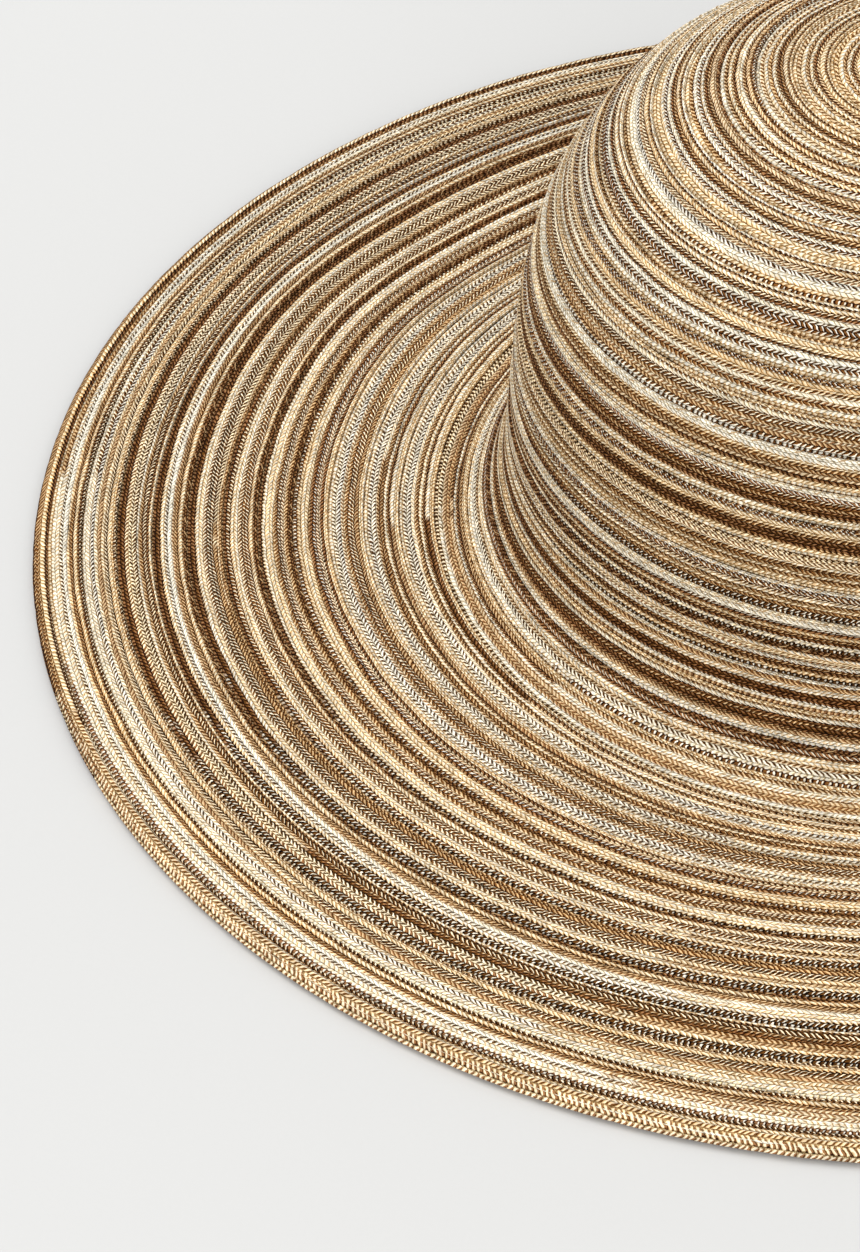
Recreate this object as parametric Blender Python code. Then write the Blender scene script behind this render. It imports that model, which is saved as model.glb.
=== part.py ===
"""A sun hat, sewn row on row in a spiral from one long flat braid.

Metres, +Z up. The hat stands on the edge of its brim, as it does on a table. The origin is
in the middle of the brim, on that table, and -Y is the front.
"""

import math

import bmesh
import bpy
from mathutils import Vector

# The hat
HAT_DIAMETER = 0.400
HEAD_DIAMETER = 0.1824
BRIM_RISE = 0.0090
CROWN_DEPTH = 0.1232

# The braid and how its rows are sewn
BRAID_THICKNESS = 0.0010
ROW_PITCH = 0.0081
ROW_STEP = 0.0006
ROW_LAP = 0.0040
PIECE_GAP = 0.0003

# The edge, where the last row is turned double
EDGE_BRAID_WIDTH = 0.0036
EDGE_BRAID_LAP = 0.0014
EDGE_ROUNDING = 0.0010

# Height of a full wave of the brim, as BRIM_WAVES counts it
WAVE_HEIGHT = 0.0045

# A soft dent of the crown at the back left: the direction in degrees, the section of the crown
# at its middle, its depth and how far it reaches
DENT_DIRECTION = 112
DENT_SECTION = 8
DENT_DEPTH = 0.0026
DENT_REACH = 0.085

# Steps round the hat, between two sections of the outline and round the edge
STEPS_ROUND = 52
STEPS_PER_SECTION = 12
STEPS_ROUND_EDGE = 4

# How far a straight run of the inner face may lie from its true curve
FLATNESS = 0.0003

# Two layers of braid make the wall, and the edge is one row's step thicker
WALL = 2 * BRAID_THICKNESS + PIECE_GAP
EDGE_THICKNESS = WALL + ROW_STEP

# Upper face of the brim, from its edge to the foot of the crown. The first column is the way
# in, as a share of the brim's width, and the second the height, as a share of BRIM_RISE.
BRIM_SECTIONS = (
    (0.00, 0.00),
    (0.14, 0.35),
    (0.27, 0.62),
    (0.41, 0.81),
    (0.54, 0.95),
    (0.69, 1.02),
    (0.82, 0.98),
    (0.88, 1.00),
)

# Outer face of the crown, from its foot to the middle of the tip. The first column is the
# radius, as a share of half the head's diameter, and the second the height above the brim,
# as a share of CROWN_DEPTH. The side ends and the tip begins at the row SHOULDER.
CROWN_SECTIONS = (
    (1.077, 0.037),
    (1.043, 0.080),
    (1.014, 0.158),
    (1.000, 0.278),
    (0.988, 0.398),
    (0.967, 0.518),
    (0.926, 0.636),
    (0.858, 0.747),
    (0.766, 0.846),
    (0.636, 0.920),
    (0.487, 0.972),
    (0.326, 0.996),
    (0.162, 1.000),
    (0.000, 1.000),
)
SHOULDER = 6

# Soft waves of the brim: the direction in degrees, counted from +X towards +Y, and the
# height of the middle of the brim there, as a share of WAVE_HEIGHT.
BRIM_WAVES = (
    (0, -0.2),
    (35, -0.5),
    (70, -0.2),
    (100, -0.5),
    (132, -1.0),
    (153, -0.4),
    (172, -0.7),
    (205, 0.0),
    (240, 0.3),
    (275, 0.9),
    (320, 0.5),
)


class Outline:
    """The hat's outer face, as a smooth curve of radius and height from the edge inwards."""

    def __init__(self, sections):
        self.marks = [0.0]
        for start, end in zip(sections, sections[1:]):
            self.marks.append(self.marks[-1] + math.dist(start, end))
        self.points = [sections[0]]
        for index in range(len(sections) - 1):
            for step in range(1, STEPS_PER_SECTION + 1):
                self.points.append(self.between(sections, index, step / STEPS_PER_SECTION))
        self.distances = [0.0]
        for start, end in zip(self.points, self.points[1:]):
            self.distances.append(self.distances[-1] + math.dist(start, end))
        self.length = self.distances[-1]

    def slope(self, sections, index):
        """Direction of the curve at a section, from the sections on both sides of it."""
        before = max(index - 1, 0)
        after = min(index + 1, len(sections) - 1)
        run = self.marks[after] - self.marks[before]
        return [(sections[after][k] - sections[before][k]) / run for k in range(2)]

    def between(self, sections, index, share):
        """Point of the cubic curve between a section and the next one."""
        run = self.marks[index + 1] - self.marks[index]
        leave = self.slope(sections, index)
        arrive = self.slope(sections, index + 1)
        square, cube = share ** 2, share ** 3
        weights = (
            2 * cube - 3 * square + 1,
            (cube - 2 * square + share) * run,
            3 * square - 2 * cube,
            (cube - square) * run,
        )
        return tuple(
            weights[0] * sections[index][k]
            + weights[1] * leave[k]
            + weights[2] * sections[index + 1][k]
            + weights[3] * arrive[k]
            for k in range(2)
        )

    def distance_of_section(self, index):
        """Way along the curve from the edge to a section."""
        return self.distances[index * STEPS_PER_SECTION]

    def place(self, distance, lift):
        """Radius and height of a point lifted off the outer face, or sunk below it."""
        last = len(self.points) - 2
        index = 0
        while index < last and self.distances[index + 1] < distance:
            index += 1
        start, end = self.points[index], self.points[index + 1]
        run = self.distances[index + 1] - self.distances[index]
        share = (distance - self.distances[index]) / run
        inward = [(end[k] - start[k]) / run for k in range(2)]
        radius = start[0] + share * (end[0] - start[0]) + lift * inward[1]
        height = start[1] + share * (end[1] - start[1]) - lift * inward[0]
        return radius, height


def hat_outline():
    """Outer face of the whole hat, with the brim's underside at the table at the edge."""
    head_radius = HEAD_DIAMETER / 2
    hat_radius = HAT_DIAMETER / 2
    brim_width = hat_radius - head_radius
    brim = [
        (hat_radius - inward * brim_width, WALL + rise * BRIM_RISE)
        for inward, rise in BRIM_SECTIONS
    ]
    brim_top = WALL + BRIM_RISE
    crown = [
        (radius * head_radius, brim_top + height * CROWN_DEPTH)
        for radius, height in CROWN_SECTIONS
    ]
    return Outline(brim + crown)


def row_marks(start, end):
    """Distances at which whole rows of braid begin and end, close to ROW_PITCH apart."""
    count = max(1, round((end - start) / ROW_PITCH))
    return [start + (end - start) * index / count for index in range(count + 1)]


def lapped_rows(outline, marks):
    """Outer face of the rows: each one's upper edge lies on the next row inwards."""
    points = []
    for lower, upper in zip(marks, marks[1:]):
        points.append(outline.place(lower, 0.0))
        points.append(outline.place(upper, ROW_STEP))
    return points


def inner_marks(outline, marks):
    """Distances where the inner face bends. A stretch that is nearly straight is spanned."""
    kept = [marks[0]]
    for mark, following in zip(marks[1:], marks[2:]):
        start = outline.place(kept[-1], -WALL)
        end = outline.place(following, -WALL)
        middle = outline.place((kept[-1] + following) / 2, -WALL)
        if math.dist(middle, [(start[k] + end[k]) / 2 for k in range(2)]) > FLATNESS:
            kept.append(mark)
    return kept + [marks[-1]]


def wall_section(outline, start, end, tongue):
    """Section of a wall of rows, as one loop, or as a chain from axis to axis at the tip.

    At its lower end a tongue runs out under the piece below, and at its upper end a lip lies
    over the next piece's tongue.
    """
    marks = row_marks(start, end)
    outer = lapped_rows(outline, marks)
    sunk = -BRAID_THICKNESS - PIECE_GAP
    inner_start = start - tongue
    below = [outline.place(inner_start, sunk), outline.place(start, sunk)]
    at_tip = end == outline.length
    inner_end = end if at_tip else end - ROW_LAP
    between = [mark for mark in marks if inner_start < mark < inner_end]
    bends = inner_marks(outline, [inner_start, *between, inner_end])
    inner = [outline.place(mark, -WALL) for mark in reversed(bends)]
    if at_tip:
        inner[0] = (0.0, inner[0][1])
        outer[-1] = (0.0, outline.place(end, ROW_STEP)[1])
        return inner + below + outer
    lip = [outline.place(distance, -BRAID_THICKNESS) for distance in (end, inner_end)]
    return below + outer + lip + inner


def brim_wave(radius, angle, foot_radius):
    """Height that a wave adds to the brim, none at its edge and at the crown's foot."""
    share = (HAT_DIAMETER / 2 - radius) / (HAT_DIAMETER / 2 - foot_radius)
    if not 0.0 < share < 1.0:
        return 0.0
    direction = math.degrees(angle) % 360
    rows = list(BRIM_WAVES) + [(BRIM_WAVES[0][0] + 360, BRIM_WAVES[0][1])]
    for (low, low_height), (high, high_height) in zip(rows, rows[1:]):
        if low <= direction <= high:
            turn_share = (direction - low) / (high - low)
            blend = (1 - math.cos(math.pi * turn_share)) / 2
            height = low_height + blend * (high_height - low_height)
    return height * WAVE_HEIGHT * math.sin(math.pi * share) ** 2


def dent_crown(mesh, outline):
    """Press the soft dent into a piece of the crown, by the same amount inside and outside."""
    distance = outline.distance_of_section(len(BRIM_SECTIONS) + DENT_SECTION)
    radius, height = outline.place(distance, 0.0)
    far_radius, far_height = outline.place(distance, 1.0)
    around = math.radians(DENT_DIRECTION)
    outwards = Vector((math.cos(around), math.sin(around), 0.0))
    middle = outwards * radius + Vector((0.0, 0.0, height))
    inwards = outwards * (radius - far_radius) + Vector((0.0, 0.0, height - far_height))
    for vertex in mesh.vertices:
        share = (vertex.co - middle).length / DENT_REACH
        if share < 1.0:
            vertex.co += inwards * DENT_DEPTH * math.cos(math.pi / 2 * share) ** 2


def turned_mesh(name, section):
    """Mesh of a section turned about Z. One that starts on the axis also ends there."""
    mesh = bpy.data.meshes.new(name)
    bm = bmesh.new()
    verts = [bm.verts.new((radius, 0.0, height)) for radius, height in section]
    edges = [bm.edges.new(pair) for pair in zip(verts, verts[1:])]
    if section[0][0] > 0.0:
        edges.append(bm.edges.new((verts[-1], verts[0])))
    bmesh.ops.spin(
        bm, geom=verts + edges, cent=(0, 0, 0), axis=(0, 0, 1),
        angle=math.tau, steps=STEPS_ROUND, use_merge=True,
    )
    bmesh.ops.remove_doubles(bm, verts=bm.verts, dist=PIECE_GAP / 100)
    bmesh.ops.recalc_face_normals(bm, faces=bm.faces)
    bm.to_mesh(mesh)
    bm.free()
    return mesh


def add_piece(name, mesh, material):
    """Put a mesh in the scene as a named piece, smooth across its rows."""
    mesh.materials.append(material)
    mesh.shade_smooth()
    mesh.set_sharp_from_angle(angle=math.radians(30))
    piece = bpy.data.objects.new(name, mesh)
    bpy.context.scene.collection.objects.link(piece)
    return piece


def braid_material(name, color, roughness):
    """Dry plaited yarn in its mean colour."""
    material = bpy.data.materials.new(name)
    material.use_nodes = True
    shader = material.node_tree.nodes["Principled BSDF"]
    shader.inputs["Base Color"].default_value = (*color, 1.0)
    shader.inputs["Roughness"].default_value = roughness
    shader.inputs["Metallic"].default_value = 0.0
    return material


def build_tip(outline, shoulder):
    """Rows from the shoulder to the middle of the top. The lowest one is under the side's."""
    section = wall_section(outline, shoulder, outline.length, ROW_LAP)
    mesh = turned_mesh("crown_tip", section)
    dent_crown(mesh, outline)
    return add_piece("crown_tip", mesh, braid_material("tip_braid", (0.47, 0.33, 0.19), 0.75))


def build_side(outline, foot, shoulder):
    """Steep rows of the crown. The lowest one is under the brim's inner row."""
    section = wall_section(outline, foot, shoulder - PIECE_GAP, ROW_LAP)
    mesh = turned_mesh("crown_side", section)
    dent_crown(mesh, outline)
    return add_piece("crown_side", mesh, braid_material("side_braid", (0.39, 0.25, 0.13), 0.75))


def build_brim(outline, foot):
    """Flat rows from under the edge braid to over the crown's lowest row."""
    start = EDGE_BRAID_WIDTH + PIECE_GAP
    section = wall_section(outline, start, foot - PIECE_GAP, EDGE_BRAID_LAP)
    mesh = turned_mesh("brim", section)
    foot_radius = outline.place(foot, 0.0)[0]
    for vertex in mesh.vertices:
        x, y, _ = vertex.co
        vertex.co.z += brim_wave(math.hypot(x, y), math.atan2(y, x), foot_radius)
    return add_piece("brim", mesh, braid_material("brim_braid", (0.50, 0.35, 0.20), 0.75))


def build_edge_braid(outline):
    """Last row, turned double: a rounded edge with a lip over the brim's outer row."""
    inner = EDGE_BRAID_WIDTH - EDGE_BRAID_LAP
    half = EDGE_THICKNESS / 2
    round_center = HAT_DIAMETER / 2 - EDGE_ROUNDING
    section = [(outline.place(inner, 0.0)[0], 0.0)]
    for step in range(STEPS_ROUND_EDGE + 1):
        angle = math.pi * (step / STEPS_ROUND_EDGE - 0.5)
        radius = round_center + EDGE_ROUNDING * math.cos(angle)
        section.append((radius, half + half * math.sin(angle)))
    section += [
        outline.place(EDGE_BRAID_WIDTH, ROW_STEP),
        outline.place(EDGE_BRAID_WIDTH, -BRAID_THICKNESS),
        outline.place(inner, -BRAID_THICKNESS),
    ]
    mesh = turned_mesh("edge_braid", section)
    return add_piece("edge_braid", mesh, braid_material("edge_yarn", (0.42, 0.28, 0.15), 0.8))


def build_hat():
    """The whole hat, in an emptied scene."""
    for old in list(bpy.data.objects):
        bpy.data.objects.remove(old, do_unlink=True)
    outline = hat_outline()
    foot = outline.distance_of_section(len(BRIM_SECTIONS))
    shoulder = outline.distance_of_section(len(BRIM_SECTIONS) + SHOULDER)
    build_tip(outline, shoulder)
    build_side(outline, foot, shoulder)
    build_brim(outline, foot)
    build_edge_braid(outline)


build_hat()
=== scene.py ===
"""Looks of a sun hat sewn in a spiral from one striped, plaited braid.

Metres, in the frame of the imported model: +Z up, -Y the front, the hat resting on its brim.
"""

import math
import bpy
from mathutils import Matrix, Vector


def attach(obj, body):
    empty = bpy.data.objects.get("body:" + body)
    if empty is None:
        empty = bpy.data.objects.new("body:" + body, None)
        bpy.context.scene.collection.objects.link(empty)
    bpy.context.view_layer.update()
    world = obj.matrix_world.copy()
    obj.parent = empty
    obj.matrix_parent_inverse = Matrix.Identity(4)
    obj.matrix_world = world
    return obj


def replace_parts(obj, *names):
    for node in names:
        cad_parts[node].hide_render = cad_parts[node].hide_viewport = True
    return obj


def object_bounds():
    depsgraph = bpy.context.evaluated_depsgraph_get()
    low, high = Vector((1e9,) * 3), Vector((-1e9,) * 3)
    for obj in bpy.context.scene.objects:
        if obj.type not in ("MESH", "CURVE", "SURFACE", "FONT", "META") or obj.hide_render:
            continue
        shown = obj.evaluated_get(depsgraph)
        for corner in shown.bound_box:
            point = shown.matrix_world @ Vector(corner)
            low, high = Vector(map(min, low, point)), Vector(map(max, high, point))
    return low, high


bl_info = {
    "name": "Braided sun hat",
    "version": (1, 0, 0),
    "blender": (4, 5, 0),
    "location": "3D View > Sidebar > Sun hat",
    "description": "Sews a striped braid into a sun hat and sets it in a studio",
    "category": "Object",
}

import bpy
import numpy as np

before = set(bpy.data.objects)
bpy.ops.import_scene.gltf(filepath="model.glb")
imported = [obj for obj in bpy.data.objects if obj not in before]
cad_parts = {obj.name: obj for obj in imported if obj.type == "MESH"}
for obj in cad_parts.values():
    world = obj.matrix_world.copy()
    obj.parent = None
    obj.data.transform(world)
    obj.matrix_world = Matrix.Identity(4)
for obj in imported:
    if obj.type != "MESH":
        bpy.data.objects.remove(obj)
CAD_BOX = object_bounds()

# Upper face of the brim, from its edge to the crown: the way in as a share of the brim's
# width, and the height as a share of the brim's rise.
BRIM_SECTIONS = (
    (0.00, 0.00),
    (0.14, 0.35),
    (0.27, 0.62),
    (0.41, 0.81),
    (0.54, 0.95),
    (0.69, 1.02),
    (0.82, 0.98),
    (0.88, 1.00),
)

# Outer face of the crown, from its foot to the middle of the tip: the radius as a share of
# half the head's diameter, and the height above the brim as a share of the crown's depth.
CROWN_SECTIONS = (
    (1.077, 0.037),
    (1.043, 0.080),
    (1.014, 0.158),
    (1.000, 0.278),
    (0.988, 0.398),
    (0.967, 0.518),
    (0.926, 0.636),
    (0.858, 0.747),
    (0.766, 0.846),
    (0.636, 0.920),
    (0.487, 0.972),
    (0.326, 0.996),
    (0.162, 1.000),
    (0.000, 1.000),
)
DENT_SECTION = len(BRIM_SECTIONS) + 8

# Soft waves of the brim: the direction in degrees, from +X towards +Y, and the height of the
# brim's middle there as a share of a full wave.
BRIM_WAVES = (
    (0, -0.2),
    (35, -0.5),
    (70, -0.2),
    (100, -0.5),
    (132, -1.0),
    (153, -0.4),
    (172, -0.7),
    (205, 0.0),
    (240, 0.3),
    (275, 0.9),
    (320, 0.5),
)

# How two yarns share a strand: the ground yarn, the yarn of its ticks and their share.
LOOKS = {
    "dark": ("black", "brown", 0.60),
    "brown": ("dark", "tan", 0.30),
    "brown tan": ("dark", "tan", 0.50),
    "tan": ("brown", "straw", 0.80),
    "tan brown": ("tan", "brown", 0.50),
    "straw": ("tan", "cream", 0.55),
    "straw dark": ("straw", "dark", 0.45),
    "cream": ("straw", "white", 0.62),
    "cream brown": ("cream", "brown", 0.52),
    "cream dark": ("cream", "black", 0.54),
    "white": ("white", "cream", 0.40),
    "white dark": ("white", "black", 0.48),
    "dark white": ("dark", "white", 0.28),
    "dark cream": ("black", "cream", 0.32),
    "dark tan": ("dark", "tan", 0.26),
    "brown cream": ("dark", "cream", 0.34),
    "brown white": ("brown", "white", 0.30),
}

# The strands of the braid from its outer edge inwards, in millimetres and in strokes: width,
# height of its roundness, lean of a stroke at the strand's crest and at its far side, and the
# looks of the space-dyed yarn with the turn of the spiral at which each one starts.
STRANDS = (
    ("outer lap", 2.9, 0.05, 0.5, 1.0,
     ((0, "tan brown"), (5, "straw"), (9, "brown tan"), (15, "tan"), (24, "straw"))),
    ("first rib", 0.95, 0.20, -0.1, -0.2,
     ((0, "straw"), (0.45, "brown white"), (1, "white"), (2, "dark"), (7, "dark white"),
      (8, "cream"), (11, "cream dark"), (12, "cream"), (12.45, "brown"), (13, "white"), (14, "tan brown"),
      (15, "dark"), (18, "straw"), (19, "cream"), (22, "white dark"), (23, "straw"),
      (26, "brown tan"), (27, "straw"), (29, "white"), (31, "straw"))),
    ("second rib", 0.95, 0.20, -0.4, -0.8,
     ((0, "brown tan"), (0.45, "white"), (1, "brown cream"), (1.45, "cream"), (2, "dark"),
      (5, "brown cream"), (6, "cream"), (7, "straw"), (8, "white dark"), (11, "cream dark"),
      (11.45, "white"), (13, "cream"), (14, "white"), (15, "straw"), (16, "white"), (17, "dark"),
      (18, "straw"), (20, "cream"), (21, "straw"), (22, "brown tan"), (23, "white"),
      (25, "brown cream"), (26, "straw"), (28, "brown tan"), (30, "straw dark"))),
    ("first ground", 1.00, 0.22, 0.45, 0.9,
     ((0, "cream"), (1, "white dark"), (1.45, "straw"), (2, "cream brown"), (2.45, "straw"),
      (3, "cream"), (8, "white dark"), (8.45, "cream"),
      (9, "white dark"), (9.45, "cream"), (10, "white dark"), (10.45, "cream"),
      (11, "tan brown"), (12, "white dark"), (13, "tan brown"), (14, "dark"), (17, "brown"),
      (18, "brown tan"), (19, "dark"), (22, "tan brown"), (23, "brown"), (24, "dark white"),
      (26, "white"), (27, "cream"), (28, "white"), (29, "cream"))),
    ("ticks", 0.80, 0.20, -0.45, -0.9,
     ((0, "white dark"), (0.45, "cream brown"), (1, "straw"), (2, "cream dark"),
      (2.45, "tan brown"),
      (3, "white dark"), (3.45, "cream"), (4.45, "tan brown"), (5, "cream"),
      (5.45, "brown tan"), (6, "cream"), (7, "straw"), (8, "cream brown"), (9, "cream"),
      (9.45, "brown tan"), (10, "cream"), (11, "tan brown"), (12, "straw dark"), (13, "dark"),
      (15, "brown"), (17, "straw"), (19, "dark"), (21, "tan"), (22, "cream brown"),
      (24, "white dark"), (26, "white"), (27, "dark white"), (29, "dark"), (30, "brown tan"))),
    ("second ground", 0.90, 0.20, 0.45, 0.9,
     ((0, "white"), (0.45, "tan"), (1, "tan brown"), (2, "dark cream"), (2.45, "brown tan"),
      (3, "white"), (4, "brown cream"), (4.45, "straw"), (5, "brown cream"), (5.45, "cream"),
      (6, "brown"), (7, "dark"), (8, "dark tan"), (11, "dark"), (11.45, "tan"), (12, "cream"),
      (13, "dark"), (15, "white"), (16, "straw"), (17, "brown"), (19, "dark"), (20, "brown tan"),
      (22, "brown tan"), (23, "white"), (26, "white dark"), (27, "white"), (28, "cream"))),
    ("thin", 0.75, 0.18, -0.4, -0.8,
     ((0, "tan"), (1, "straw"), (1.45, "brown cream"), (2, "cream"), (2.45, "dark"),
      (3, "tan brown"), (4, "dark cream"), (5, "brown cream"), (7, "dark white"),
      (8, "brown cream"), (9, "cream"), (12, "cream"), (13, "brown"), (14, "cream"),
      (15, "cream brown"), (16, "dark"), (17, "cream"), (18, "brown"), (20, "dark"),
      (21, "brown tan"), (22, "brown cream"), (24, "dark"), (26, "cream brown"), (27, "dark"),
      (29, "white"), (30, "dark"))),
    ("herringbone", 0.70, 0.18, -0.5, -1.0,
     ((0, "dark tan"), (1, "dark cream"), (2, "brown tan"), (3, "dark tan"),
      (4, "brown cream"), (6, "cream brown"), (8, "brown cream"), (9, "dark"),
      (10.45, "cream"), (11, "dark"), (11.45, "white"), (12, "dark"), (14, "cream"),
      (15, "straw"), (16, "white dark"), (17, "brown cream"), (18, "cream"), (19, "straw"),
      (20, "brown cream"), (21, "straw"), (22, "brown cream"), (23, "straw"),
      (25, "brown cream"), (27, "brown tan"), (29, "dark tan"), (31, "straw dark"))),
    ("chevrons", 1.05, 0.22, 0.55, 1.1,
     ((0, "straw"), (2, "dark cream"), (3, "straw"), (4, "cream dark"), (4.45, "brown tan"),
      (5, "straw"), (6, "brown tan"), (7, "dark"), (8, "brown tan"), (9, "cream"),
      (9.45, "tan brown"), (10, "cream"), (10.45, "dark"), (11, "brown tan"),
      (12, "brown white"), (13, "white"), (14, "tan brown"), (15, "cream"), (16, "white"),
      (17, "dark white"), (18, "cream brown"), (19, "straw"), (20, "brown white"),
      (21, "white"), (23, "straw"), (25, "cream"), (26, "straw"), (28, "tan"), (30, "straw"))),
    ("dark line", 0.40, 0.10, 0.1, 0.2,
     ((0, "dark"), (1, "tan"), (2, "dark"), (4, "tan"), (4.45, "brown"), (5, "dark"),
      (7, "cream"), (8, "straw"), (8.45, "brown"), (9, "straw"), (12, "dark"), (13, "brown"),
      (15, "dark"), (16, "cream"), (17, "dark white"), (18, "cream brown"),
      (19, "dark white"), (20, "white"), (22, "dark white"), (24, "white"), (25, "dark"),
      (28, "tan"), (29, "dark"))),
    ("inner selvedge", 0.56, 0.15, 0.2, 0.4,
     ((0, "dark cream"), (2, "cream"), (3, "dark"), (4, "brown tan"), (5, "dark"),
      (7, "straw"), (8, "cream"), (8.45, "brown"), (9, "cream"), (10, "straw"), (12, "dark"),
      (13, "straw"), (14, "white"), (15, "dark"), (16, "white"), (18, "cream dark"),
      (19, "dark white"), (20, "white"), (22, "straw"), (23, "dark white"), (24, "brown"),
      (25, "white"), (28, "dark"), (29, "dark white"), (30, "straw"))),
)
HIDDEN_STRANDS = 1
RIBS = ("first rib", "second rib")

# The edge braid, turned double, in the same columns: from its inner edge outwards, over the
# rounded edge and back underneath.
EDGE_STRANDS = (
    ("inner line", 0.35, 0.10, 0.1, 0.2, ((0, "dark"), (1, "white"))),
    ("top chevrons", 1.45, 0.20, 0.55, 1.1, ((0, "straw"), (1, "straw dark"))),
    ("top herringbone", 1.15, 0.16, -0.5, -1.0, ((0, "dark tan"), (1, "cream brown"))),
    ("edge", 1.20, 0.15, 0.45, 0.9, ((0, "dark"), (1, "cream brown"))),
    ("under herringbone", 1.25, 0.10, -0.45, -0.9, ((0, "dark cream"), (1, "tan brown"))),
    ("under chevrons", 1.45, 0.10, 0.55, 1.1, ((0, "tan"), (1, "tan brown"))),
)

# One stitch of the sewing thread, in millimetres: the way in from the row's outer edge, the
# height above the hat's outer face and the way along the row.
STITCH_PATH = (
    (7.50, 0.35, 0.0),
    (7.70, 0.62, 0.6),
    (7.95, 0.56, 1.4),
    (8.30, 0.05, 2.0),
)

# Direction at which the yarn of the edge braid changes.
EDGE_CHANGE = math.radians(203)

# The pieces of the hat: name, first and last turn, steps in a turn, and a material slot name; each
# piece's material is named after the piece.
BRIM_PIECES = (
    ("brim_outer", -1.0, 5.667, 350, "brim_braid"),
    ("brim_inner", 5.667, 12.667, 334, "brim_braid"),
)
SIDE_PIECES = (("side", 12.667, 21.667, 260, "side_braid"),)
TIP_PIECES = (("tip", 21.667, 34.90, 177, "tip_braid"),)

MM = 0.001
SEED = 11


class HatShape(bpy.types.PropertyGroup):
    """Sizes of the whole hat."""

    hat_diameter: bpy.props.FloatProperty(
        name="Hat diameter", description="Across the brim, from edge to edge",
        default=round(CAD_BOX[1][0] - CAD_BOX[0][0], 4), min=0.2, unit="LENGTH")
    head_diameter: bpy.props.FloatProperty(
        name="Head diameter", description="Across the outside of the crown at the head line",
        default=0.1824, min=0.1, unit="LENGTH")
    brim_rise: bpy.props.FloatProperty(
        name="Brim rise", description="How much higher the brim is at the crown than at its edge",
        default=0.0090, unit="LENGTH")
    crown_depth: bpy.props.FloatProperty(
        name="Crown depth", description="From the top of the brim to the top of the tip",
        default=0.1232, unit="LENGTH")
    wall: bpy.props.FloatProperty(
        name="Wall", description="Thickness of two lapped layers of braid",
        default=0.0023, unit="LENGTH")
    wave_height: bpy.props.FloatProperty(
        name="Wave height", description="Height of a full wave of the brim",
        default=0.0045, unit="LENGTH")
    dent_direction: bpy.props.FloatProperty(
        name="Dent direction", description="Direction of the soft dent, from +X towards +Y",
        default=math.radians(112), subtype="ANGLE")
    dent_depth: bpy.props.FloatProperty(
        name="Dent depth", description="Depth of the soft dent of the crown",
        default=0.0026, unit="LENGTH")
    dent_reach: bpy.props.FloatProperty(
        name="Dent reach", description="How far the soft dent reaches from its middle",
        default=0.085, unit="LENGTH")


class BraidMake(bpy.types.PropertyGroup):
    """Sizes and finish of the braid and its sewing."""

    row_pitch: bpy.props.FloatProperty(
        name="Row pitch", description="From one row of braid to the next",
        default=0.00806, unit="LENGTH")
    first_row: bpy.props.FloatProperty(
        name="First row", description="From the hat's edge to the first whole row",
        default=0.00335, unit="LENGTH")
    thickness: bpy.props.FloatProperty(
        name="Braid thickness", description="Thickness of one layer of braid",
        default=0.0011, unit="LENGTH")
    plait_pitch: bpy.props.FloatProperty(
        name="Plait pitch", description="Length of one stroke and one gap of the plait",
        default=0.00135, unit="LENGTH")
    sway: bpy.props.FloatProperty(
        name="Sway", description="How far a strand wanders to its side",
        default=0.00013, unit="LENGTH")
    tooth: bpy.props.FloatProperty(
        name="Tooth", description="How far the strokes of two strands reach into each other",
        default=0.00045, unit="LENGTH")
    edge_width: bpy.props.FloatProperty(
        name="Edge width", description="Width of the edge braid on the upper side",
        default=0.0033, unit="LENGTH")
    stitch_pitch: bpy.props.FloatProperty(
        name="Stitch pitch", description="From one sewing stitch to the next",
        default=0.0048, unit="LENGTH")
    thread_radius: bpy.props.FloatProperty(
        name="Thread radius", description="Radius of the sewing thread",
        default=0.00013, unit="LENGTH")
    roughness: bpy.props.FloatProperty(
        name="Roughness", description="Roughness of the dry yarn",
        default=0.80, min=0.0, max=1.0, subtype="FACTOR")


def yarn_color(label, color):
    """Colour property of one yarn."""
    return bpy.props.FloatVectorProperty(
        name=label, description=label + " of the space-dyed yarn", subtype="COLOR",
        size=3, min=0.0, max=1.0, default=color)


class YarnColors(bpy.types.PropertyGroup):
    """Colours that the space-dyed yarn runs through."""

    black: yarn_color("Darkest brown", (0.095, 0.037, 0.006))
    dark: yarn_color("Dark brown", (0.176, 0.072, 0.017))
    brown: yarn_color("Middle brown", (0.285, 0.140, 0.058))
    tan: yarn_color("Tan", (0.600, 0.420, 0.228))
    straw: yarn_color("Straw", (0.755, 0.585, 0.372))
    cream: yarn_color("Cream", (0.845, 0.720, 0.520))
    white: yarn_color("Natural white", (0.800, 0.742, 0.625))
    thread: yarn_color("Sewing thread", (0.420, 0.270, 0.130))


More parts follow.
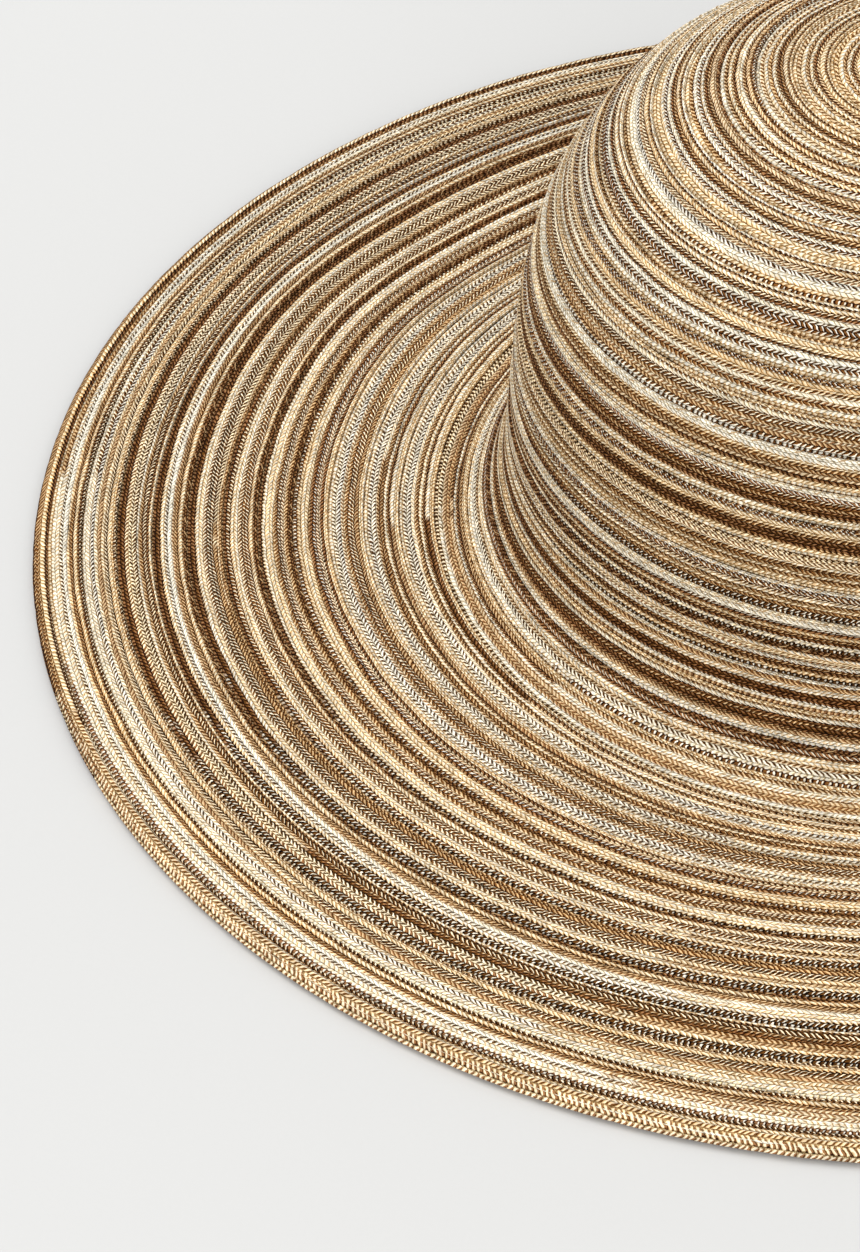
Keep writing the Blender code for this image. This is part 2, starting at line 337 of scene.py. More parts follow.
class Studio(bpy.types.PropertyGroup):
    """The floor, the light and the camera."""

    floor_color: bpy.props.FloatVectorProperty(
        name="Floor", description="Colour of the floor", subtype="COLOR", size=3,
        min=0.0, max=1.0, default=(0.527, 0.527, 0.523))
    sky_strength: bpy.props.FloatProperty(
        name="Sky strength", description="Strength of the even light from all round",
        default=1.03, min=0.0)
    key_power: bpy.props.FloatProperty(
        name="Key power", description="Power of the large soft lamp at the upper left",
        default=26.0, min=0.0, unit="POWER")
    fill_power: bpy.props.FloatProperty(
        name="Fill power", description="Power of the large soft lamp in front",
        default=30.0, min=0.0, unit="POWER")
    camera_height: bpy.props.FloatProperty(
        name="Camera height", description="Height of the camera above the floor",
        default=1.0333, unit="LENGTH")
    camera_back: bpy.props.FloatProperty(
        name="Camera distance", description="From the hat's middle to the camera, level",
        default=1.2351, unit="LENGTH")
    camera_left: bpy.props.FloatProperty(
        name="Camera offset", description="How far the camera stands to the left",
        default=0.1095, unit="LENGTH")
    camera_pitch: bpy.props.FloatProperty(
        name="Camera pitch", description="How far the camera looks down",
        default=math.radians(40.544), subtype="ANGLE")
    lens: bpy.props.FloatProperty(
        name="Lens", description="Focal length of the camera", default=202.86)


class HatOutline:
    """The hat's outer face as a smooth curve from the edge to the middle of the tip."""

    def __init__(self, shape):
        self.shape = shape
        head, hat = shape.head_diameter / 2, shape.hat_diameter / 2
        brim_top = shape.wall + shape.brim_rise
        rows = [(hat - way * (hat - head), shape.wall + rise * shape.brim_rise)
                for way, rise in BRIM_SECTIONS]
        rows += [(radius * head, brim_top + height * shape.crown_depth)
                 for radius, height in CROWN_SECTIONS]
        rows = np.array(rows)
        marks = np.append(0.0, np.cumsum(np.linalg.norm(np.diff(rows, axis=0), axis=1)))
        after = np.minimum(np.arange(len(rows)) + 1, len(rows) - 1)
        before = np.maximum(np.arange(len(rows)) - 1, 0)
        slopes = (rows[after] - rows[before]) / (marks[after] - marks[before])[:, None]
        steps = 24
        share = np.tile(np.arange(steps) / steps, len(rows) - 1)[:, None]
        low = np.repeat(np.arange(len(rows) - 1), steps)
        run = (marks[low + 1] - marks[low])[:, None]
        points = (
            (2 * share ** 3 - 3 * share ** 2 + 1) * rows[low]
            + (share ** 3 - 2 * share ** 2 + share) * run * slopes[low]
            + (3 * share ** 2 - 2 * share ** 3) * rows[low + 1]
            + (share ** 3 - share ** 2) * run * slopes[low + 1]
        )
        self.points = np.vstack((points, rows[-1:]))
        lengths = np.linalg.norm(np.diff(self.points, axis=0), axis=1)
        self.distances = np.append(0.0, np.cumsum(lengths))
        self.length = self.distances[-1]
        along = np.gradient(self.points, self.distances, axis=0)
        along /= np.linalg.norm(along, axis=1)[:, None]
        self.normals = np.stack((along[:, 1], -along[:, 0]), 1)
        self.foot_radius = rows[len(BRIM_SECTIONS), 0]
        dent = DENT_SECTION * steps
        side = np.array((math.cos(shape.dent_direction), math.sin(shape.dent_direction), 0.0))
        up = np.array((0.0, 0.0, 1.0))
        self.dent_middle = side * self.points[dent, 0] + up * self.points[dent, 1]
        self.dent_inwards = -side * self.normals[dent, 0] - up * self.normals[dent, 1]

    def place(self, distance, lift):
        """Radius and height of points lifted off the outer face."""
        values = [np.interp(distance, self.distances, column)
                  for column in (*self.points.T, *self.normals.T)]
        return values[0] + lift * values[2], values[1] + lift * values[3]

    def wave(self, radius, around):
        """Height that the soft waves add to the brim."""
        reach = self.shape.hat_diameter / 2 - self.foot_radius
        share = np.clip((self.shape.hat_diameter / 2 - radius) / reach, 0.0, 1.0)
        rows = np.array(BRIM_WAVES + ((BRIM_WAVES[0][0] + 360, BRIM_WAVES[0][1]),), float)
        direction = np.degrees(around) % 360
        low = np.clip(np.searchsorted(rows[:, 0], direction, "right") - 1, 0, len(rows) - 2)
        turn = (direction - rows[low, 0]) / (rows[low + 1, 0] - rows[low, 0])
        height = rows[low, 1] + (1 - np.cos(math.pi * turn)) / 2 * (rows[low + 1, 1] - rows[low, 1])
        return height * self.shape.wave_height * np.sin(math.pi * share) ** 2

    def surface(self, distance, around, lift):
        """Points in space at a distance from the edge, a direction and a lift."""
        radius, height = self.place(distance, lift)
        radius = np.maximum(radius, 0.00005)
        points = np.stack((radius * np.cos(around), radius * np.sin(around),
                           height + self.wave(radius, around)), -1)
        far = np.linalg.norm(points - self.dent_middle, axis=-1) / self.shape.dent_reach
        depth = self.shape.dent_depth * np.cos(math.pi / 2 * np.minimum(far, 1.0)) ** 2
        return points + depth[..., None] * self.dent_inwards


def smooth_noise(random, count, spacing):
    """Even noise between -1 and 1 that changes over a number of steps."""
    knots = random.uniform(-1.0, 1.0, int(count / spacing) + 4)
    place = np.arange(count) / spacing + random.uniform()
    low = place.astype(int)
    share = place - low
    share = share * share * (3 - 2 * share)
    return knots[low] + share * (knots[low + 1] - knots[low])


def strand_colors(random, strand, turns, yarns):
    """Ground and tick colours of a strand along its turns, and the share of the ticks."""
    name, runs = strand[0], strand[5]
    starts = np.array([turn for turn, _ in runs])
    spread = random.uniform(-0.10, 0.12) + random.normal(0.0, 0.004, len(turns))
    index = np.searchsorted(starts, turns + 0.36 + spread, "right") - 1
    index = np.clip(index, 0, len(runs) - 1)
    looks = [LOOKS[look] for _, look in runs]
    ground = np.array([yarns[look[0]] for look in looks])[index]
    tick = np.array([yarns[look[1]] for look in looks])[index]
    share = np.array([look[2] for look in looks])[index]
    if name in RIBS:
        turn = turns % 1.0 + random.normal(0.0, 0.01, len(turns))
        ticked = (ground[:, 0] < 0.2) & (turn > 0.075) & (turn < 0.28)
        tick[ticked] = yarns["white"]
        share = np.where(ticked, 0.30, share)
    tone = 1.0 + 0.14 * smooth_noise(random, len(turns), 34) + 0.10 * smooth_noise(
        random, len(turns), 5)
    share = share + 0.08 * smooth_noise(random, len(turns), 21)
    warmth = 1.0 + 0.03 * smooth_noise(random, len(turns), 50)[:, None] * np.array((1, 0, -2))
    return ground * tone[:, None] * warmth, tick * tone[::-1, None] * warmth, share


def interlock(beside, ground, tick, share):
    """Yarns of the two sides of a tooth, where strokes reach into the strand beside."""
    ticked = np.abs(ground[:, 0] - tick[:, 0]) > 0.22
    flows = np.abs(beside[:, 0] - tick[:, 0]) < np.abs(beside[:, 0] - ground[:, 0])
    flows = flows & ticked
    none, whole = np.zeros_like(share), np.ones_like(share)
    start = (
        np.where(flows[:, None], ground, beside),
        np.where(flows[:, None], beside, np.where(ticked[:, None], tick, ground)),
        np.where(flows, whole, none),
    )
    end = (
        np.where(ticked[:, None], ground, beside),
        np.where(ticked[:, None], tick, ground),
        np.where(ticked, share, whole),
    )
    return start, end


class BraidStrip:
    """Joints across the braid and the strips between them, gathered as one closed loop."""

    def __init__(self):
        self.across, self.lift, self.lean, self.share_across = [], [], [], []
        self.strips = []

    def joint(self, across, lift):
        """Add a joint. The next strip starts there."""
        self.across.append(across)
        self.lift.append(lift)

    def strip(self, strand, before, leans, rounds):
        """Add the strip from the last joint to the next: a tooth if before is another strand."""
        self.strips.append((strand, before, leans, rounds))


def row_section(make):
    """Section of one row: its hidden lap, its strands side by side and its underside."""
    section = BraidStrip()
    widths = np.array([strand[1] for strand in STRANDS]) * MM
    widths[HIDDEN_STRANDS:] *= make.row_pitch / widths[HIDDEN_STRANDS:].sum()
    starts = np.cumsum(widths) - widths - widths[:HIDDEN_STRANDS].sum()
    marks = np.array((-2.9, -0.9, 0.0, 0.8, 7.0, 8.06)) * MM
    heights = np.array((-0.75, -0.60, -0.32, 0.00, 0.44, 0.38)) * MM

    def top(across):
        return float(np.interp(across, marks, heights))

    for index, (_, _, dome, middle_lean, far_lean, _) in enumerate(STRANDS):
        start, width, dome = starts[index], widths[index], dome * MM
        section.joint(start, top(start))
        if index < HIDDEN_STRANDS:
            section.strip(index, index, (0.0, far_lean), (0.0, 1.0))
            continue
        tooth = min(make.tooth / width, 0.46)
        reach = tooth * width
        section.strip(index, index - 1, (0.0, middle_lean * 2 * tooth), (0.0, tooth))
        section.joint(start + reach, top(start + reach) + dome * 0.55)
        section.strip(index, index, (middle_lean * 2 * tooth, middle_lean), (tooth, 0.5))
        crest = start + width / 2
        section.joint(crest, top(crest) + dome)
        section.strip(index, index, (middle_lean, far_lean), (0.5, 1.0))
    end = starts[-1] + widths[-1]
    last = len(STRANDS) - 1
    section.joint(end, top(end) + 0.02 * MM)
    section.strip(last, last, (0.0, 0.2), (0.0, 0.5))
    section.joint(end + 0.10 * MM, top(end) - 0.35 * MM)
    section.strip(last, last, (0.2, 0.4), (0.5, 1.0))
    section.joint(end - 0.15 * MM, top(end) - 0.72 * MM)
    for index in (9, 7, 5, 3, 1, 0):
        section.strip(index, index, (0.0, -STRANDS[index][4]), (0.0, 1.0))
        edge = starts[index] + (0.10 * MM if index == 0 else 0.0)
        section.joint(edge, top(edge) - make.thickness)
    section.strip(0, 0, (0.0, 0.3), (0.0, 1.0))
    return section


def add_strip_mesh(name, section, points, strokes, turns, strands, closed, material, keep=None):
    """Mesh of a strip of braid from its points, as sections by joints, with its yarns."""
    sections, joints = points.shape[:2]
    columns = np.arange(joints)
    following = (columns + 1) % joints
    rows = np.arange(sections if closed else sections - 1)
    after = (rows + 1) % sections
    here, there = rows[:, None] * joints, after[:, None] * joints
    faces = np.stack((here + columns, here + following, there + following, there + columns), -1)
    random = np.random.default_rng(SEED + len(name))
    yarn_set = bpy.context.scene.hat_yarns
    yarns = {key: np.array(getattr(yarn_set, key)) for key in
             ("black", "dark", "brown", "tan", "straw", "cream", "white")}
    looks = [strand_colors(random, strand, turns, yarns) for strand in strands]
    count = len(rows)
    ground = np.zeros((count, joints, 4, 3))
    tick = np.zeros((count, joints, 4, 3))
    share = np.zeros((count, joints, 4))
    uv = np.zeros((count, joints, 4, 2))
    far_strokes = strokes[rows + 1] if closed else strokes[after]
    for column, (strand, before, leans, rounds) in enumerate(section.strips):
        is_tooth = before != strand
        sides = (looks[strand], looks[strand])
        if is_tooth:
            sides = interlock(looks[before][0], *looks[strand])
        for corner, (source, side) in enumerate(((rows, 0), (rows, 1), (after, 1), (after, 0))):
            own_ground, own_tick, own_share = sides[side]
            ground[:, column, corner] = own_ground[source]
            tick[:, column, corner] = own_tick[source]
            share[:, column, corner] = own_share[source]
            length = strokes[rows] if source is rows else far_strokes
            uv[:, column, corner, 0] = length + leans[side] + strand * 17.37
            uv[:, column, corner, 1] = rounds[side]
    flat = faces.reshape(-1, 4)
    if keep is not None:
        stuck = keep.reshape(-1)[flat].all(axis=1)
        flat = flat[~stuck]
        ground, tick, share, uv = (
            values.reshape(-1, *values.shape[2:])[~stuck] for values in (ground, tick, share, uv))
    used, flat_index = np.unique(flat, return_inverse=True)
    flat = flat_index.reshape(-1, 4)
    vertices = points.reshape(-1, 3)[used]
    mesh = bpy.data.meshes.new(name)
    mesh.vertices.add(len(vertices))
    mesh.vertices.foreach_set("co", vertices.ravel())
    mesh.loops.add(flat.size)
    mesh.loops.foreach_set("vertex_index", flat.ravel())
    mesh.polygons.add(len(flat))
    mesh.polygons.foreach_set("loop_start", np.arange(0, flat.size, 4))
    mesh.update(calc_edges=True)
    layer = mesh.uv_layers.new(name="strokes")
    layer.uv.foreach_set("vector", uv.reshape(-1).astype(np.float32))
    for label, values in (("ground_yarn", ground), ("tick_yarn", tick)):
        color = np.ones((flat.size, 4), np.float32)
        color[:, :3] = np.clip(values.reshape(-1, 3), 0.0, 1.0)
        mesh.color_attributes.new(label, "FLOAT_COLOR", "CORNER").data.foreach_set(
            "color", color.ravel())
    mesh.attributes.new("tick_share", "FLOAT", "CORNER").data.foreach_set(
        "value", share.reshape(-1).astype(np.float32))
    mesh.materials.append(material)
    mesh.shade_smooth()
    mesh.validate()
    piece = bpy.data.objects.new(name, mesh)
    bpy.context.scene.collection.objects.link(piece)
    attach(piece, "root")
    return piece


class NodeBench:
    """Short ways to add and join shader nodes."""

    def __init__(self, material):
        material.use_nodes = True
        self.tree = material.node_tree
        self.shader = self.tree.nodes["Principled BSDF"]

    def node(self, kind, **settings):
        """Add a node. Settings are its own, and inputs gives those of its sockets."""
        inputs = settings.pop("inputs", {})
        node = self.tree.nodes.new(kind)
        for key, value in settings.items():
            setattr(node, key, value)
        for key, value in inputs.items():
            if isinstance(value, bpy.types.NodeSocket):
                self.tree.links.new(value, node.inputs[key])
            else:
                node.inputs[key].default_value = value
        return node

    def math(self, operation, first, second=0.0, third=0.0):
        """Result of a sum on one, two or three values."""
        node = self.node("ShaderNodeMath", operation=operation,
                         inputs={0: first, 1: second, 2: third})
        return node.outputs[0]

    def ramp(self, value, low, high, to_low=0.0, to_high=1.0):
        """Smooth step of a value from one range to another."""
        node = self.node("ShaderNodeMapRange", interpolation_type="SMOOTHSTEP", inputs={
            "Value": value, "From Min": low, "From Max": high,
            "To Min": to_low, "To Max": to_high})
        return node.outputs["Result"]

    def join(self, output, socket):
        """Join an output to a socket."""
        self.tree.links.new(output, socket)


def plaited_material(name, roughness):
    """Plaited yarn: slanted strokes in two yarns, painted shade in the gaps between strokes and in the
    creases between strands, round strokes and fine fibres.
    """
    material = bpy.data.materials.new(name)
    bench = NodeBench(material)
    strokes = bench.node("ShaderNodeUVMap", uv_map="strokes").outputs["UV"]
    parts = bench.node("ShaderNodeSeparateXYZ", inputs={0: strokes})
    along, across = parts.outputs["X"], parts.outputs["Y"]
    place = bench.node("ShaderNodeTexCoord").outputs["Object"]

    def noise(scale, detail):
        return bench.node("ShaderNodeTexNoise", inputs={
            "Vector": place, "Scale": scale, "Detail": detail}).outputs["Fac"]

    wobble = bench.math("MULTIPLY_ADD", noise(520.0, 2.0), 1.1, -0.55)
    along = bench.math("ADD", along, wobble)
    across = bench.math("ADD", across, bench.math("MULTIPLY_ADD", noise(1500.0, 2.0), 0.5, -0.25))
    phase = bench.math("FRACT", along)
    middle = bench.math("SUBTRACT", 1.0, bench.math(
        "ABSOLUTE", bench.math("MULTIPLY_ADD", phase, 2.0, -1.0)))
    share = bench.node("ShaderNodeAttribute", attribute_name="tick_share").outputs["Fac"]
    level = bench.math("ADD", middle, bench.math("SUBTRACT", share, 1.0))
    is_tick = bench.ramp(level, -0.07, 0.07)
    ground = bench.node("ShaderNodeAttribute", attribute_name="ground_yarn").outputs["Color"]
    tick = bench.node("ShaderNodeAttribute", attribute_name="tick_yarn").outputs["Color"]
    yarn = bench.node("ShaderNodeMix", data_type="RGBA", inputs={0: is_tick, 6: ground, 7: tick})

    # Painted shade: each stroke gets a dark gap on one side of its tick, a painted shadow beside the
    # tick.
    bow = bench.math("MULTIPLY_ADD", bench.math("FRACT", bench.math("ADD", along, 0.25)), 2.0, -1.0)
    stroke = bench.math("SUBTRACT", 1.0, bench.math("MULTIPLY", bow, bow))
    side = bench.math("MULTIPLY_ADD", across, 2.0, -1.0)
    strand = bench.math("SUBTRACT", 1.0, bench.math("MULTIPLY", side, side))
    fibres = noise(2600.0, 3.0)
    number = bench.node("ShaderNodeCombineXYZ", inputs={0: bench.math("FLOOR", along)})
    chance = bench.node("ShaderNodeTexWhiteNoise", inputs={"Vector": number.outputs[0]})
    # Painted shade in the creases between strands, made uneven by noise.
    crease_shade = bench.math("MULTIPLY", bench.ramp(strand, 0.0, 0.60, 1.0, 0.0),
                        bench.ramp(noise(700.0, 2.0), 0.30, 0.60, 0.45, 1.0))
    depth = bench.math("MAXIMUM", bench.ramp(stroke, 0.0, 0.75, 1.0, 0.0), crease_shade)
    # Painted shade: in the gaps and creases the yarn colour is raised to a power, which darkens it to a
    # warm shadow colour, and the shade below darkens it again.
    shaded_yarn = bench.node("ShaderNodeGamma", inputs={
        "Color": yarn.outputs[2], "Gamma": bench.math("MULTIPLY_ADD", depth, 1.6, 1.0)})
    tone = bench.math("MULTIPLY_ADD", chance.outputs["Value"], 0.44, 0.80)
    tone = bench.math("MULTIPLY", tone, bench.math("MULTIPLY_ADD", fibres, 0.60, 0.70))
    shade = bench.math("MULTIPLY", tone, bench.math("MULTIPLY_ADD", depth, -0.48, 1.0))
    shade = bench.math("MULTIPLY", shade, bench.math("MULTIPLY_ADD", crease_shade, -0.65, 1.0))
    color = bench.node("ShaderNodeVectorMath", operation="SCALE", inputs={
        0: shaded_yarn.outputs[0], "Scale": shade})
    bench.join(color.outputs[0], bench.shader.inputs["Base Color"])

    height = bench.math("ADD", bench.math("MULTIPLY", stroke, 0.55), bench.math(
        "ADD", bench.math("MULTIPLY", strand, 0.45), bench.math("MULTIPLY", fibres, 0.25)))
    bump = bench.node("ShaderNodeBump", inputs={
        "Strength": 0.8, "Distance": 0.00030, "Height": height})
    bench.join(bump.outputs["Normal"], bench.shader.inputs["Normal"])
    bench.shader.inputs["Roughness"].default_value = roughness
    bench.shader.inputs["Specular IOR Level"].default_value = 0.05
    return material


def thread_material(yarns, make):
    """Tan cotton sewing thread with a fine twist and uneven dye."""
    material = bpy.data.materials.new("sewing_thread")
    bench = NodeBench(material)
    place = bench.node("ShaderNodeTexCoord").outputs["Object"]
    fibres = bench.node("ShaderNodeTexNoise", inputs={
        "Vector": place, "Scale": 3200.0, "Detail": 2.0}).outputs["Fac"]
    dye = bench.node("ShaderNodeTexNoise", inputs={
        "Vector": place, "Scale": 45.0, "Detail": 1.0}).outputs["Fac"]
    tone = bench.math("MULTIPLY", bench.math("MULTIPLY_ADD", fibres, 0.40, 0.80),
                      bench.math("MULTIPLY_ADD", dye, 0.40, 0.80))
    color = bench.node("ShaderNodeVectorMath", operation="SCALE", inputs={
        0: tuple(yarns.thread), "Scale": tone})
    bench.join(color.outputs[0], bench.shader.inputs["Base Color"])
    bump = bench.node("ShaderNodeBump", inputs={
        "Strength": 0.5, "Distance": make.thread_radius / 2, "Height": fibres})
    bench.join(bump.outputs["Normal"], bench.shader.inputs["Normal"])
    bench.shader.inputs["Roughness"].default_value = make.roughness
    bench.shader.inputs["Specular IOR Level"].default_value = 0.1
    return material


def sew_rows(name, first, last, steps, slot):
    """Sew a run of turns of the braid into one piece."""
    scene = bpy.context.scene
    shape, make = scene.hat_shape, scene.hat_braid
    outline = HatOutline(shape)
    section = row_section(make)
    count = int(round((last - first) * steps)) + 1
    turns = np.linspace(first, last, count)
    around = math.tau * (turns + 0.5)
    middle = make.first_row + make.row_pitch * (turns + 0.5)
    radius = outline.place(np.clip(middle, 0.0, outline.length), 0.0)[0]
    radius = np.maximum(radius, 0.002)
    lengths = (radius[1:] + radius[:-1]) / 2 * np.diff(around)
    strokes = np.append(0.0, np.cumsum(lengths)) / make.plait_pitch
    random = np.random.default_rng(SEED)
    across = np.array(section.across)[None, :]
    lift = np.array(section.lift)[None, :]
    starts = {}
    for column, place in enumerate(section.across):
        near = round(place / 0.0009)
        if near not in starts:
            starts[near] = smooth_noise(random, count, 1.2) + 0.8 * smooth_noise(random, count, 4.0)
    sway = make.sway * np.stack([starts[round(place / 0.0009)] for place in section.across], 1)
    inside = np.clip((across + 0.001) / (make.row_pitch + 0.001), 0.0, 1.0)
    sway = sway * np.minimum(1.0, 3.0 * np.sin(math.pi * inside) + 0.3)
    distance = make.first_row + make.row_pitch * turns[:, None] + across + sway
    edge = 0.0009
    held = np.clip(distance, edge, outline.length)
    stuck = (distance <= edge) | (distance >= outline.length)
    rise = 1.0 + 0.10 * smooth_noise(random, count, 9.0)[:, None]
    points = outline.surface(held, around[:, None] + 0.0 * across, lift * rise)
    material = plaited_material(name + "_braid", make.roughness)
    piece = add_strip_mesh(name, section, points, strokes, turns, STRANDS, False, material, stuck)
    return piece


class HAT_OT_sew_edge(bpy.types.Operator):
    """Lay the edge braid double round the edge of the brim"""

    bl_idname = "hat.sew_edge"
    bl_label = "Sew the edge braid"

    def execute(self, context):
        shape, make = context.scene.hat_shape, context.scene.hat_braid
        outline = HatOutline(shape)
        count = 640
        around = np.linspace(0.0, math.tau, count, endpoint=False)
        turns = 0.64 + 0.9 * np.sin(around - EDGE_CHANGE)
        radius = shape.hat_diameter / 2
        total = round(math.tau * radius / make.plait_pitch)
        strokes = np.linspace(0.0, total, count + 1)
        section = BraidStrip()
        top = float(outline.place(make.edge_width, 0.0)[1]) + 0.00075
        rim_top = shape.wall + 0.0004
        inner, outer = radius - make.edge_width, radius - 0.0007
        loop = [
            (inner - 0.0001, top - 0.0009), (inner, top - 0.0003), (inner + 0.0003, top),
            (inner + 0.0009, top + 0.0001), (inner + 0.0014, top - 0.0002),
            (inner + 0.0016, top - 0.0001), (inner + 0.0021, rim_top + 0.0003),
            (outer, rim_top), (radius - 0.0002, rim_top * 0.78),
            (radius, rim_top * 0.5), (radius - 0.0002, rim_top * 0.22), (outer, 0.0001),
            (inner + 0.0020, 0.0), (inner + 0.0012, 0.0001), (inner + 0.0002, 0.0004),
            (inner - 0.0001, 0.0010),
        ]
        owners = (0, 0, 1, 1, 1, 2, 2, 2, 3, 3, 3, 4, 4, 5, 5, 5)
        leans = {owner: EDGE_STRANDS[owner][3:5] for owner in set(owners)}
        for index, (owner, (place, height)) in enumerate(zip(owners, loop)):
            section.joint(place, height)
            same = [k for k, other in enumerate(owners) if other == owner]
            low = (index - same[0]) / len(same)
            high = (index - same[0] + 1) / len(same)
            bend = [np.interp(v, (0.0, 0.5, 1.0), (0.0, *leans[owner])) for v in (low, high)]
            before = owner if index != same[0] or index == 0 else owners[index - 1]
            section.strip(owner, before, bend, (low, high))
        random = np.random.default_rng(SEED + 5)
        place = np.array(section.across)[None, :] + 0.0 * around[:, None]
        height = np.array(section.lift)[None, :] + 0.0 * around[:, None]
        bumps = random.normal(0.0, 1.0, (count, 1))
        height = height * (1.0 - 0.02 * np.abs(bumps) * (height > 0.0008))
        place = np.minimum(place - 0.00004 * np.abs(bumps), radius)
        points = np.stack((place * np.cos(around)[:, None], place * np.sin(around)[:, None],
                           height), -1)
        material = plaited_material("edge_braid_finish", make.roughness)
        piece = add_strip_mesh("edge", section, points, strokes, turns, EDGE_STRANDS, True,
                               material)
        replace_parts(piece, "edge_braid")
        return {"FINISHED"}


class HAT_OT_sew_brim(bpy.types.Operator):
    """Sew the flat rows of the brim"""

    bl_idname = "hat.sew_brim"
    bl_label = "Sew the brim"

    def execute(self, context):
        for row in BRIM_PIECES:
            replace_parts(sew_rows(*row), "brim")
        return {"FINISHED"}


class HAT_OT_sew_side(bpy.types.Operator):
    """Sew the steep rows of the crown's side"""

    bl_idname = "hat.sew_side"
    bl_label = "Sew the side of the crown"

    def execute(self, context):
        for row in SIDE_PIECES:
            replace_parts(sew_rows(*row), "crown_side")
        return {"FINISHED"}


class HAT_OT_sew_tip(bpy.types.Operator):
    """Sew the rows of the tip, to their start in its middle"""

    bl_idname = "hat.sew_tip"
    bl_label = "Sew the tip of the crown"

    def execute(self, context):
        for row in TIP_PIECES:
            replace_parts(sew_rows(*row), "crown_tip")
        return {"FINISHED"}


class HAT_OT_stitch_rows(bpy.types.Operator):
    """Stitch each row to the next with short stitches of tan thread"""

    bl_idname = "hat.stitch_rows"
    bl_label = "Stitch the rows"

    def execute(self, context):
        shape, make = context.scene.hat_shape, context.scene.hat_braid
        outline = HatOutline(shape)
        random = np.random.default_rng(SEED + 3)
        first, last, steps = 0.2, TIP_PIECES[-1][2] - 2.0, 4000
        turns = np.linspace(first, last, int((last - first) * steps))
        middle = make.first_row + make.row_pitch * (turns + 1.0)
        radius = outline.place(np.clip(middle, 0.0, outline.length), 0.0)[0]
        run = np.cumsum(np.maximum(radius, 0.002)) * math.tau / steps
        marks = np.arange(run[0] + make.stitch_pitch, run[-1], make.stitch_pitch)
        marks = marks + random.normal(0.0, 0.08, len(marks)) * make.stitch_pitch
        turns, radius = np.interp(marks, run, turns), np.interp(marks, run, radius)
        path = np.array(STITCH_PATH) * MM
        length = random.uniform(0.75, 1.2, len(turns))
        aside = random.normal(0.0, 0.08, len(turns)) * MM
        ring = np.array(((0, 1), (1, 0), (0, -1), (-1, 0))) * make.thread_radius
        row = make.first_row + make.row_pitch * turns
        distance = (row + aside)[:, None, None] + path[None, :, None, 0] + ring[None, None, :, 0]
        around = (math.tau * (turns + 0.5))[:, None, None] + (
            length[:, None] * path[None, :, 2] / radius[:, None])[..., None]
        lift = path[None, :, None, 1] + ring[None, None, :, 1]
        distance, around, lift = np.broadcast_arrays(distance, around, lift)
        points = outline.surface(distance, around, lift)
        stitches, joints, sides = points.shape[:3]
        index = np.arange(points[..., 0].size).reshape(stitches, joints, sides)
        quads = np.stack((index[:, :-1], np.roll(index, -1, 2)[:, :-1],
                          np.roll(index, -1, 2)[:, 1:], index[:, 1:]), -1).reshape(-1, 4)
        caps = np.concatenate((index[:, 0, ::-1], index[:, -1]))
        faces = np.concatenate((quads, caps))
        mesh = bpy.data.meshes.new("stitches")
        mesh.from_pydata(points.reshape(-1, 3), [], faces.tolist())
        mesh.update()
        mesh.shade_smooth()
        mesh.materials.append(thread_material(context.scene.hat_yarns, make))
        piece = bpy.data.objects.new("stitches", mesh)
        context.scene.collection.objects.link(piece)
        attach(piece, "root")
        return {"FINISHED"}


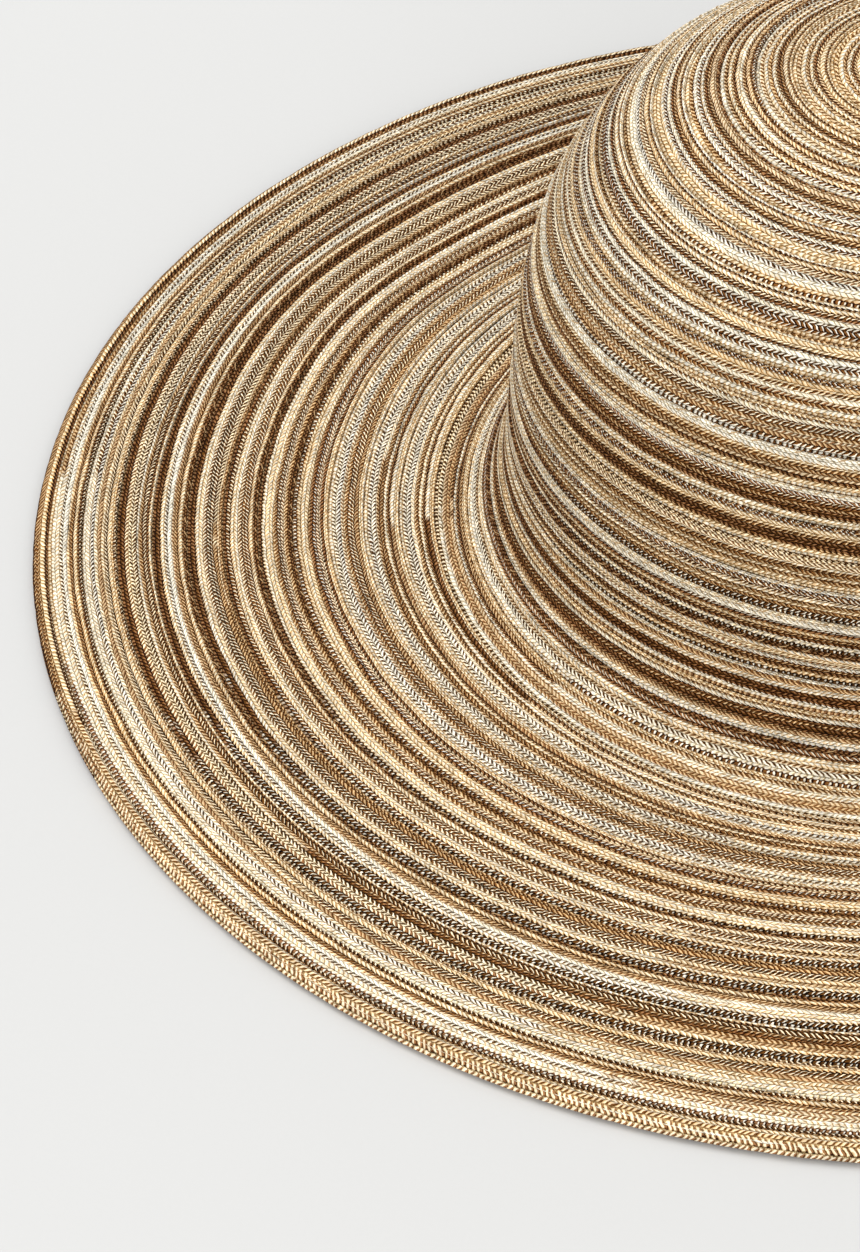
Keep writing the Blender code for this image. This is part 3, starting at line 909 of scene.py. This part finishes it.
class HAT_OT_set_studio(bpy.types.Operator):
    """Lay the pale floor and set the soft lamps and the camera"""

    bl_idname = "hat.set_studio"
    bl_label = "Set the studio"

    def execute(self, context):
        studio = context.scene.hat_studio
        size = 8.0
        mesh = bpy.data.meshes.new("floor")
        mesh.from_pydata([(-size, -size, 0.0), (size, -size, 0.0), (size, size, 0.0),
                          (-size, size, 0.0)], [], [(0, 1, 2, 3)])
        floor = bpy.data.objects.new("floor", mesh)
        floor.location.z = -0.0004
        context.scene.collection.objects.link(floor)
        material = bpy.data.materials.new("pale_floor")
        bench = NodeBench(material)
        place = bench.node("ShaderNodeTexCoord").outputs["Object"]
        grain = bench.node("ShaderNodeTexNoise", inputs={
            "Vector": place, "Scale": 900.0, "Detail": 2.0}).outputs["Fac"]
        tone = bench.math("MULTIPLY_ADD", grain, 0.02, 0.99)
        color = bench.node("ShaderNodeVectorMath", operation="SCALE", inputs={
            0: tuple(studio.floor_color), "Scale": tone})
        bench.join(color.outputs[0], bench.shader.inputs["Base Color"])
        bench.shader.inputs["Roughness"].default_value = 0.9
        bench.shader.inputs["Specular IOR Level"].default_value = 0.1
        mesh.materials.append(material)

        world = bpy.data.worlds.new("even_light")
        world.use_nodes = True
        sky = world.node_tree.nodes["Background"]
        sky.inputs["Color"].default_value = (1.0, 1.0, 0.99, 1.0)
        sky.inputs["Strength"].default_value = studio.sky_strength
        context.scene.world = world
        self.add_lamp(context, "key_lamp", studio.key_power, 1.4, (-1.0, 0.6, 1.9))
        self.add_lamp(context, "fill_lamp", studio.fill_power, 1.6, (-0.3, -2.2, 0.75))

        lens = bpy.data.cameras.new("camera")
        lens.lens = studio.lens
        lens.sensor_width = 36.0
        camera = bpy.data.objects.new("camera", lens)
        camera.location = (-studio.camera_left, -studio.camera_back, studio.camera_height)
        camera.rotation_euler = (math.pi / 2 - studio.camera_pitch, 0.0, 0.0)
        context.scene.collection.objects.link(camera)
        context.scene.camera = camera
        context.scene.view_settings.view_transform = "Standard"
        return {"FINISHED"}

    def add_lamp(self, context, name, power, size, place):
        """Add a large soft lamp that points at the hat."""
        lamp = bpy.data.lights.new(name, "AREA")
        lamp.energy, lamp.size = power, size
        holder = bpy.data.objects.new(name, lamp)
        holder.location = place
        aim = -holder.location
        holder.rotation_euler = aim.to_track_quat("-Z", "Y").to_euler()
        context.scene.collection.objects.link(holder)


class HAT_PT_workshop(bpy.types.Panel):
    """Steps and sizes of the sun hat"""

    bl_idname = "HAT_PT_workshop"
    bl_label = "Sun hat"
    bl_space_type = "VIEW_3D"
    bl_region_type = "UI"
    bl_category = "Sun hat"

    def draw(self, context):
        for step in STEPS:
            self.layout.operator(step.bl_idname)
        for group in GROUPS:
            settings = getattr(context.scene, GROUPS[group])
            for key in group.__annotations__:
                self.layout.prop(settings, key)


GROUPS = {
    HatShape: "hat_shape",
    BraidMake: "hat_braid",
    YarnColors: "hat_yarns",
    Studio: "hat_studio",
}
STEPS = (
    HAT_OT_sew_edge, HAT_OT_sew_brim, HAT_OT_sew_side, HAT_OT_sew_tip, HAT_OT_stitch_rows,
    HAT_OT_set_studio,
)


def register():
    for group, name in GROUPS.items():
        bpy.utils.register_class(group)
        setattr(bpy.types.Scene, name, bpy.props.PointerProperty(type=group))
    for step in (*STEPS, HAT_PT_workshop):
        bpy.utils.register_class(step)


def unregister():
    for step in (HAT_PT_workshop, *reversed(STEPS)):
        bpy.utils.unregister_class(step)
    for group, name in reversed(GROUPS.items()):
        delattr(bpy.types.Scene, name)
        bpy.utils.unregister_class(group)


def main():
    """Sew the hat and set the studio."""
    register()
    bpy.ops.hat.sew_edge()
    bpy.ops.hat.sew_brim()
    bpy.ops.hat.sew_side()
    bpy.ops.hat.sew_tip()
    bpy.ops.hat.stitch_rows()
    bpy.ops.hat.set_studio()


if __name__ == "__main__":
    main()
